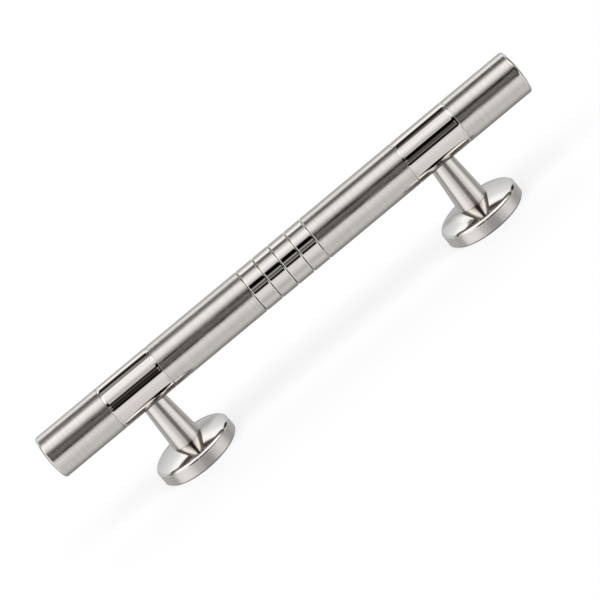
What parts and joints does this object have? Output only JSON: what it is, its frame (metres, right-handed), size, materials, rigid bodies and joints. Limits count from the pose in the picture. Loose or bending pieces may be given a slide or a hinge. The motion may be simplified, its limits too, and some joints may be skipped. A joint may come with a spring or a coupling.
{
  "type": "bar handle",
  "caption": "Straight round bar handle with satin and polished segments, a ringed middle, and tapered posts on domed round roses.",
  "frame": {"origin": "on the mounting face, midway between the two fixing holes", "axes": "+X along the bar, +Y across it in the mounting face, +Z away from the mounting face"},
  "size_m": [0.2086, 0.031, 0.0426],
  "materials": {
    "satin_nickel": "satin, turned grain round the bar",
    "polished_nickel": "mirror polish",
    "post_nickel": "satin, turned grain round the post",
    "rose_nickel": "polished dome, satin rim",
    "plain_steel": "plain turned steel"
  },
  "bodies": {
    "root": {"cap_left": "satin_nickel", "cap_right": "satin_nickel", "sleeve_left": "polished_nickel", "sleeve_right": "polished_nickel", "tube_left": "satin_nickel", "tube_right": "satin_nickel", "ring_1": "polished_nickel", "ring_2": "polished_nickel", "ring_3": "polished_nickel", "ring_4": "polished_nickel", "post_left": "post_nickel", "post_right": "post_nickel", "rose_left": "rose_nickel", "rose_right": "rose_nickel", "core_rod": "plain_steel", "stud_left": "plain_steel", "stud_right": "plain_steel"}
  },
  "joints": []
}
